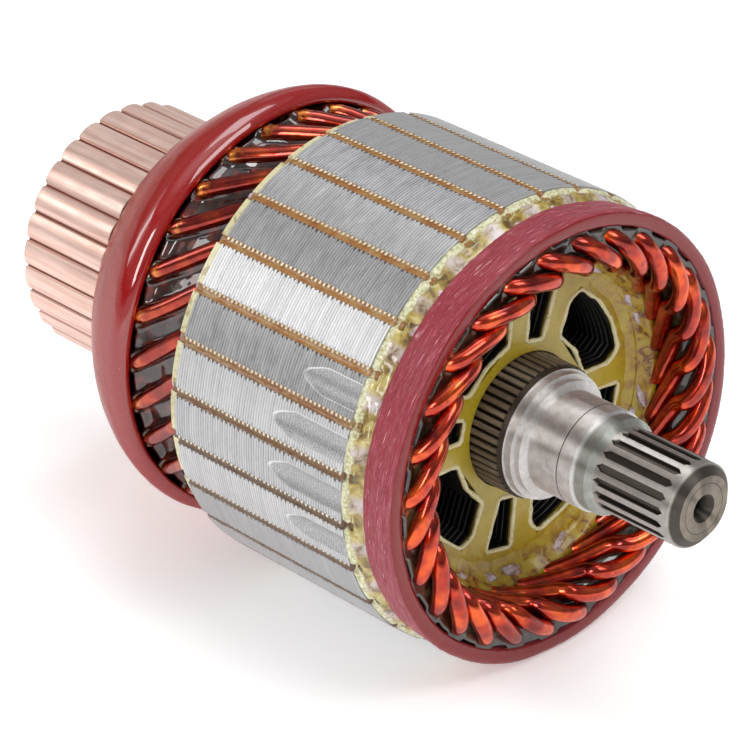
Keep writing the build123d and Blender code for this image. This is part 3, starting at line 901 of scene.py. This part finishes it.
front_fill = [(-13.2, 28.0), (-11.5, 28.7), (-9.5, 29.3), (-7.5, 29.8), (-5.8, 30.5), (-5.3, 31.4)]
front_fill += [(-5.25 + 0.08 * abs(k - 3), 31.9 + 0.4 * k) for k in range(8)]
front_fill += [(-5.7, 35.0), (-6.5, 35.2), (-9.0, 34.9), (-11.0, 34.2), (-13.2, 33.0)]
front_varnish = ring("front_varnish", front_fill, fill_segments, meniscus(-4.0, 0.35, 3.6, 1.0),
                     varnish)
rear_fill = [(-55.6 - 0.5 * k, 32.7) for k in range(16)]
rear_fill += [(-63.5 - 0.3 * k, 32.7 + 0.05 * k) for k in range(16)]
rear_fill += [(-69.0, 33.4), (-69.0, 31.6), (-66.0, 30.6), (-60.0, 30.4), (-55.6, 30.4)]
rear_varnish = ring("rear_varnish", rear_fill, fill_segments, meniscus(-67.9, 0.3, 3.6, 2.0),
                    varnish)
for piece in (front_varnish, rear_varnish):
    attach(piece, "root")


# Amber varnish in the corner between the drive-end plate and the wires

def fillet_wobble(x, radius, angle, lump):
    return 0.5 * lump(3.0, 6.0), 0.15 * lump(2.0, 9.0)


fillet = [(-14.6, 23.6), (-14.25, 24.3), (-13.9, 25.3), (-13.4, 26.2), (-12.7, 26.9),
          (-11.7, 27.4), (-10.8, 28.2), (-14.6, 28.2)]
plate_fillet = ring("plate_fillet", fillet, 420, fillet_wobble, olive)
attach(plate_fillet, "root")


# Varnish run together from the core's front edge to the taped band, notched at each slot

lug_inner_radius = 36.0
cream_end = -13.7
notch_depth, notch_half_width = 0.8, 0.8


def lug_wobble(x, radius, angle, lump):
    if radius < lug_inner_radius:
        return 0.0, 0.0
    if x >= cream_end:
        rise = 0.35 * lump(2.6, 12.0) + 0.06 * lump(1.1, 13.0)
        return rise, 0.4 * lump(2.4, 14.0)
    steps = (angle - first_slot) / slot_pitch
    from_slot = abs(steps - round(steps)) * math.radians(slot_pitch) * core_radius
    notch = -notch_depth * math.exp(-(from_slot / notch_half_width) ** 4)
    return notch + 0.10 * lump(1.3, 13.0), 0.18 * lump(1.6, 14.0)


lug_fill = [(-15.5, 36.4), (-15.5, 38.1), (-15.3, 38.25), (-15.0, 38.3), (-14.7, 38.25),
            (-14.4, 38.1), (-14.1, 37.9), (-13.8, 37.75), (-13.4, 37.6), (-13.0, 37.35),
            (-12.5, 37.0), (-12.1, 36.8), (-11.6, 36.8), (-11.6, 35.2), (-13.9, 35.2)]
lug_ring = ring("lug_varnish", lug_fill, 840, lug_wobble, lug_varnish())
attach(lug_ring, "root")


# Bands: the sections of their solids, with rounded edges and hand-made unevenness

def front_band_wobble(x, radius, angle, lump):
    """Edges of the tape's turns, and the lumps under them."""
    if radius < band_seat_radius + 0.4:
        return 0.0, 0.0
    steps = 0.10 * math.sin(2 * math.pi * (x / 2.3 + angle / 360.0))
    return steps + 0.22 * lump(9.0, 3.0) + 0.06 * lump(1.2, 4.0), 0.0


def rear_band_wobble(x, radius, angle, lump):
    """Slow waves of the poured resin, none where it sits on the hub and the wires."""
    if radius < 23.0 or (x > -73.0 and radius < 35.3):
        return 0.0, 0.0
    return 0.30 * lump(14.0, 7.0) + 0.05 * lump(3.0, 8.0), 0.0


front_profile = [(-11.8, 35.5), (-11.8, 36.6), (-11.7, 37.1), (-11.4, 37.35)]
front_profile += [(-11.0 + 0.6 * k, 37.4 + 0.06 * k) for k in range(10)]
front_profile += [(-5.1, 37.95), (-4.85, 37.8), (-4.72, 37.5), (-4.7, 36.8), (-4.75, 35.9),
                  (-4.9, 35.5)]
front_tape = ring("front_tape", front_profile, 720, front_band_wobble, tape)

rear_profile = arc_points((-88.5, 22.4), (-81.95, 31.35), (-72.2, 37.1), 20)
rear_profile += [(-71.3, 37.35), (-70.4, 37.45), (-69.5, 37.3), (-68.7, 36.9), (-68.1, 36.3),
                 (-67.8, 35.7), (-67.9, 35.3), (-69.0, 35.2), (-72.8, 35.4), (-86.2, 22.4),
                 (-86.2, 21.7), (-88.4, 21.7)]
rear_cone = ring("rear_cone", rear_profile, 540, rear_band_wobble, resin)
for piece, node, finish in (
    (front_tape, "front_band", "glass_tape"), (rear_cone, "rear_band", "red_resin"),
):
    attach(piece, "root")
    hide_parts(node)


# Slot mouths: one uneven amber strip in each, up to the teeth on both sides

strip_columns, strip_rows = 7, 96
strip_inset = 0.4
strip_half_width = slot_mouth / 2 + 0.03
strip_sink = 0.05
strip_dip = 0.26
strip_end_drop = 0.75


def slot_place(x, side, index):
    """Radius and angle of the varnish across a slot's mouth, side running from -1 to 1."""
    radius = core_radius - strip_sink - strip_dip * (1 - abs(side) ** 2.2)
    if x > core_front or x < core_rear:
        radius -= strip_end_drop
    radius += 0.10 * noise.noise(Vector((x * 0.9, index * 7.3, side * 1.5)))
    centre = first_slot + slot_pitch * index
    return radius, centre + math.degrees(side * strip_half_width / core_radius)


def strip_set(name, start_x, length, rows, place, material):
    """An open strip for each slot or seam, its points placed by their station and side."""
    points, faces = [], []
    for index in range(slot_count):
        for i in range(rows + 1):
            x = start_x + length * i / rows
            for j in range(strip_columns):
                if i and j:
                    a = len(points) - strip_columns - 1
                    faces.append((a, a + 1, a + strip_columns + 1, a + strip_columns))
                points.append(at(x, *place(x, j / (strip_columns - 1) * 2 - 1, index)))
    return new_object(name, points, faces, material)


strips = strip_set("slot_strips", rear_lug_face + strip_inset,
                   front_lug_face - rear_lug_face - 2 * strip_inset, strip_rows, slot_place, amber)
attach(strips, "root")


# Burrs: the sheet edges that stand over the slot on the lower side of each tooth

burr_faces = ((0, 2, 3), (2, 4, 3), (2, 1, 4), (0, 3, 5), (3, 4, 5), (4, 1, 5), (0, 5, 1),
              (0, 1, 2))


def burr_points(x, centre, width, reach):
    """A wedge of metal from the tooth's edge out over the slot."""
    root = centre - math.degrees((slot_mouth / 2 + 0.2) / core_radius)
    tip = centre - math.degrees((slot_mouth / 2 - reach) / core_radius)
    low = core_radius - 0.12
    return (
        at(x - width, low, root), at(x + width, low, root), at(x, core_radius, root),
        at(x - width * 0.6, low, tip), at(x + width * 0.6, low, tip),
        at(x, core_radius - 0.45, root),
    )


def edge_burrs():
    points, faces = [], []
    chance = random.Random(31)
    per_slot = int((core_front - core_rear) / burr_pitch)
    for index in range(slot_count):
        centre = first_slot + slot_pitch * index
        for k in range(per_slot):
            x = core_rear + burr_pitch * (k + 0.5)
            width = burr_pitch * chance.uniform(0.28, 0.38)
            reach = chance.uniform(0.4, 0.62)
            faces += [tuple(len(points) + i for i in face) for face in burr_faces]
            points.extend(burr_points(x, centre, width, reach))
    return new_object("edge_burrs", points, faces, burr, False)


burrs = edge_burrs()
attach(burrs, "root")


# Seams: copper dragged over the mica, one strip between each two bars

seam_rows = 24
seam_half_width = 0.37
seam_dip = 0.22
riser_start = riser_face - 4.8


def seam_place(x, side, index):
    """Radius and angle across a seam, side running from -1 to 1."""
    top = bar_shoulder - (0.04 if x < riser_start else 0.14)
    radius = top - seam_dip * (1 - abs(side) ** 1.6)
    return radius, slot_pitch * index + math.degrees(side * seam_half_width / bar_shoulder)


seam_start = bar_end + 0.25
seams = strip_set("bar_seams", seam_start, (riser_face - 2.0) - seam_start, seam_rows, seam_place,
                  copper)
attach(seams, "root")


# Cream rims round the lightening windows of the drive-end plate

rim_inset = 0.45
rim_sides = 8
rim_point_spacing = 1.6
rim_outer = slot_floor_radius - plate_yoke_width + rim_inset
rim_inner = core_bore_radius + plate_ring_width - rim_inset
rim_flank = rim_inner + window_flank_share * (rim_outer - rim_inner)
wide_window = [
    (rim_outer, -21.5), (rim_outer + 0.2, -7), (rim_outer + 0.2, 7), (rim_outer, 21.5),
    (rim_flank, 25.8), (rim_inner, 21.5), (rim_inner, 0), (rim_inner, -21.5), (rim_flank, -25.8),
]
narrow_window = [(rim_outer, 7.6), (rim_outer, -7.6), (rim_inner - 1.0, -8.3),
                 (rim_inner - 1.0, 8.3)]


def rim_line(window, centre):
    """Close points along one window's edge in the plate's plane, its corners cut over."""
    outline = []
    for radius, angle in window:
        swing = math.radians(centre + angle)
        outline.append((-radius * math.sin(swing), radius * math.cos(swing)))
    dense = []
    for (y, z), (ny, nz) in zip(outline, outline[1:] + outline[:1]):
        pieces = max(1, int(math.hypot(ny - y, nz - z) / rim_point_spacing))
        dense += [(y + (ny - y) * k / pieces, z + (nz - z) * k / pieces) for k in range(pieces)]
    line = []
    for (y, z), (ny, nz) in zip(dense, dense[1:] + dense[:1]):
        line.append((y * 0.75 + ny * 0.25, z * 0.75 + nz * 0.25))
        line.append((y * 0.25 + ny * 0.75, z * 0.25 + nz * 0.75))
    return line


def rim_bead(line):
    """Points of an uneven bead laid along a line on the plate's face."""
    points = []
    out = Vector((1, 0, 0))
    for i, (y, z) in enumerate(line):
        py, pz = line[i - 1]
        ny, nz = line[(i + 1) % len(line)]
        side = Vector((0, ny - py, nz - pz)).normalized().cross(out)
        fat = 0.42 + 0.18 * noise.noise(Vector((y, z, 4.0)) * 0.9)
        here = Vector((front_plate_face - 0.1, y, z))
        for k in range(rim_sides):
            swing = 2 * math.pi * k / rim_sides
            offset = out * math.sin(swing) * 0.8 + side * math.cos(swing)
            points.append((here + offset * fat) * MM)
    return points


def window_rims():
    points, faces = [], []
    for window, phase in ((wide_window, 0.0), (narrow_window, 45.0)):
        for turn in range(4):
            line = rim_line(window, window_phase + phase + 90.0 * turn)
            faces += round_faces(len(line), rim_sides, True, len(points))
            points += rim_bead(line)
    return new_object("window_rims", points, faces, rim_varnish())


rims = window_rims()
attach(rims, "root")


# Drops of varnish at the slot ends, each (station, radius, angle, half sizes, roughness, lean)

def axes_at(angle, lean):
    """Unit directions along the shaft, round it and out from it, the first two turned by lean."""
    turn, tilt = math.radians(angle), math.radians(lean)
    out = Vector((0, -math.sin(turn), math.cos(turn)))
    around = Vector((0, -math.cos(turn), -math.sin(turn)))
    along = Vector((1, 0, 0))
    return (along * math.cos(tilt) + around * math.sin(tilt),
            around * math.cos(tilt) - along * math.sin(tilt), out)


def blob(points, faces, centre, axes, sizes, rough, seed, rings=8, sides=12):
    """Add one uneven drop to the lists, with half sizes along three axes."""
    start = len(points)
    for i in range(rings + 1):
        rise = math.pi * i / rings
        for k in range(sides):
            turn = 2 * math.pi * k / sides
            unit = Vector((math.sin(rise) * math.cos(turn), math.sin(rise) * math.sin(turn),
                           math.cos(rise)))
            swell = 1 + rough * noise.noise(unit * 1.7 + Vector((seed * 3.1, seed * 1.7, 0)))
            point = centre
            for axis, share, size in zip(axes, unit, sizes):
                point = point + axis * (share * size * swell * MM)
            points.append(point)
    faces += round_faces(rings + 1, sides, False, start)


def drops(name, places):
    points, faces = [], []
    for seed, (x, radius, angle, sizes, rough, lean) in enumerate(places):
        blob(points, faces, at(x, radius, angle), axes_at(angle, lean), sizes, rough, seed)
    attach(new_object(name, points, faces, pearl), "root")


chance = random.Random(7)


def near(value, below, above):
    return value + chance.uniform(-below, above)


def front_drop(centre):
    """On the lugs, beside a slot's mouth."""
    return (near(front_lug_face + 0.5, 0.3, 0.3), near(36.2, 0.5, 0.2), near(centre, 1.2, 1.2),
            (near(1.5, 0.5, 0.5), near(1.3, 0.4, 0.6), 0.9), 0.6, near(0, 40, 40))


def rear_drop(centre):
    """At the commutator end of a slot."""
    return (rear_lug_face - 0.1, near(36.2, 0.3, 0.2), near(centre, 0.6, 0.6),
            (0.6, near(1.1, 0.2, 0.3), 0.8), 0.9, 0)


def root_drop(centre):
    """Inside the crowns, at the foot of a slot."""
    return (front_lug_face + 0.1, near(27.0, 0.8, 0.5), near(centre, 3.0, 3.0),
            (near(0.7, 0.2, 0.3), near(1.8, 0.8, 0.9), 0.8), 0.6, near(0, 30, 30))


outer_places, inner_places = [], []
for index in range(slot_count):
    centre = first_slot + slot_pitch * index
    outer_places += [front_drop(centre), rear_drop(centre)]
    inner_places += [root_drop(centre) for _ in range(chance.choice((1, 1, 2)))]
drops("slot_end_varnish", outer_places)
drops("slot_root_varnish", inner_places)


# Floor, lights and camera

floor_half_width = 4
floor_clearance = 0.0002
floor_shader = Shader("floor")
floor_shader.set(
    Base_Color=floor_shader.mix(floor_shader.noise(0.02), (250, 250, 250), (252, 252, 252)),
    Roughness=0.7,
    Emission_Color=(1, 1, 1, 1),
    Emission_Strength=0.3,
)
floor_corners = [
    Vector((x * floor_half_width, y * floor_half_width, cad_box[0][2] - floor_clearance))
    for x, y in ((-1, -1), (1, -1), (1, 1), (-1, 1))
]
floor = new_object("floor", floor_corners, [(0, 1, 2, 3)], floor_shader.material, False)

light_aim = Vector((-40, 0, 0)) * MM


def softbox(name, azimuth, elevation, distance, width, height, power, tint=(1, 1, 1)):
    """Rectangular light in a direction from the armature's middle, facing it."""
    a, e = math.radians(azimuth), math.radians(elevation)
    away = Vector((math.cos(a) * math.cos(e), math.sin(a) * math.cos(e), math.sin(e)))
    light = bpy.data.lights.new(name, "AREA")
    light.shape = "RECTANGLE"
    light.size = width
    light.size_y = height
    light.energy = power
    light.color = tint
    holder = bpy.data.objects.new(name, light)
    holder.location = light_aim + away * distance
    holder.rotation_euler = away.to_track_quat("Z", "Y").to_euler()
    bpy.context.scene.collection.objects.link(holder)


softbox("key", -139, 26, 1.0, 0.26, 0.42, 1.25)
softbox("key_fill", -139, 29, 1.05, 0.75, 0.36, 0.5)
softbox("front", -62, 24, 1.0, 0.22, 0.45, 2.8)
softbox("face", 8, 50, 1.0, 0.5, 0.4, 3.0)
softbox("top", 120, 75, 1.1, 0.7, 0.5, 3.4, tint=(0.95, 0.97, 1.0))
softbox("back", 133, 20, 1.2, 0.5, 0.3, 0.3)

# Brightness of the studio by height, from straight down at 0 to straight up at 1
studio_stops = (
    (0.0, 0.5), (0.48, 0.25), (0.50, 0.6), (0.54, 0.55), (0.56, 0.07), (0.585, 0.10),
    (0.635, 0.28), (0.80, 0.32), (0.86, 0.2), (0.92, 0.5), (1.0, 1.2),
)


def studio_world():
    """Grey surroundings, darker just above the horizon and light overhead."""
    world = bpy.data.worlds.new("studio")
    world.use_nodes = True
    sky = Nodes(world.node_tree)
    height = sky.node("SeparateXYZ", sky.node("TexCoord").outputs["Generated"]).outputs["Z"]
    lift = sky.node("MapRange", height, -1.0)
    shade = sky.ramp(lift.outputs[0], *[(place, (v, v, v, 1)) for place, v in studio_stops])
    sky.put(shade, sky.tree.nodes["Background"].inputs["Color"])
    return world


bpy.context.scene.world = studio_world()

frame_pixels = 750
focal_pixels = 4077.0
sensor_width = 36.0
camera_place = (0.3744, -0.4076, 0.31505)
camera_down = 28.62
camera_turn = 45.99
camera_data = bpy.data.cameras.new("camera")
camera_data.sensor_width = sensor_width
camera_data.lens = focal_pixels * sensor_width / frame_pixels
camera_data.clip_start = 0.05
camera = bpy.data.objects.new("camera", camera_data)
camera.location = camera_place
camera.rotation_euler = Euler((math.radians(90 - camera_down), 0, math.radians(camera_turn)))
bpy.context.scene.collection.objects.link(camera)
bpy.context.scene.camera = camera
bpy.context.scene.view_settings.view_transform = "Standard"
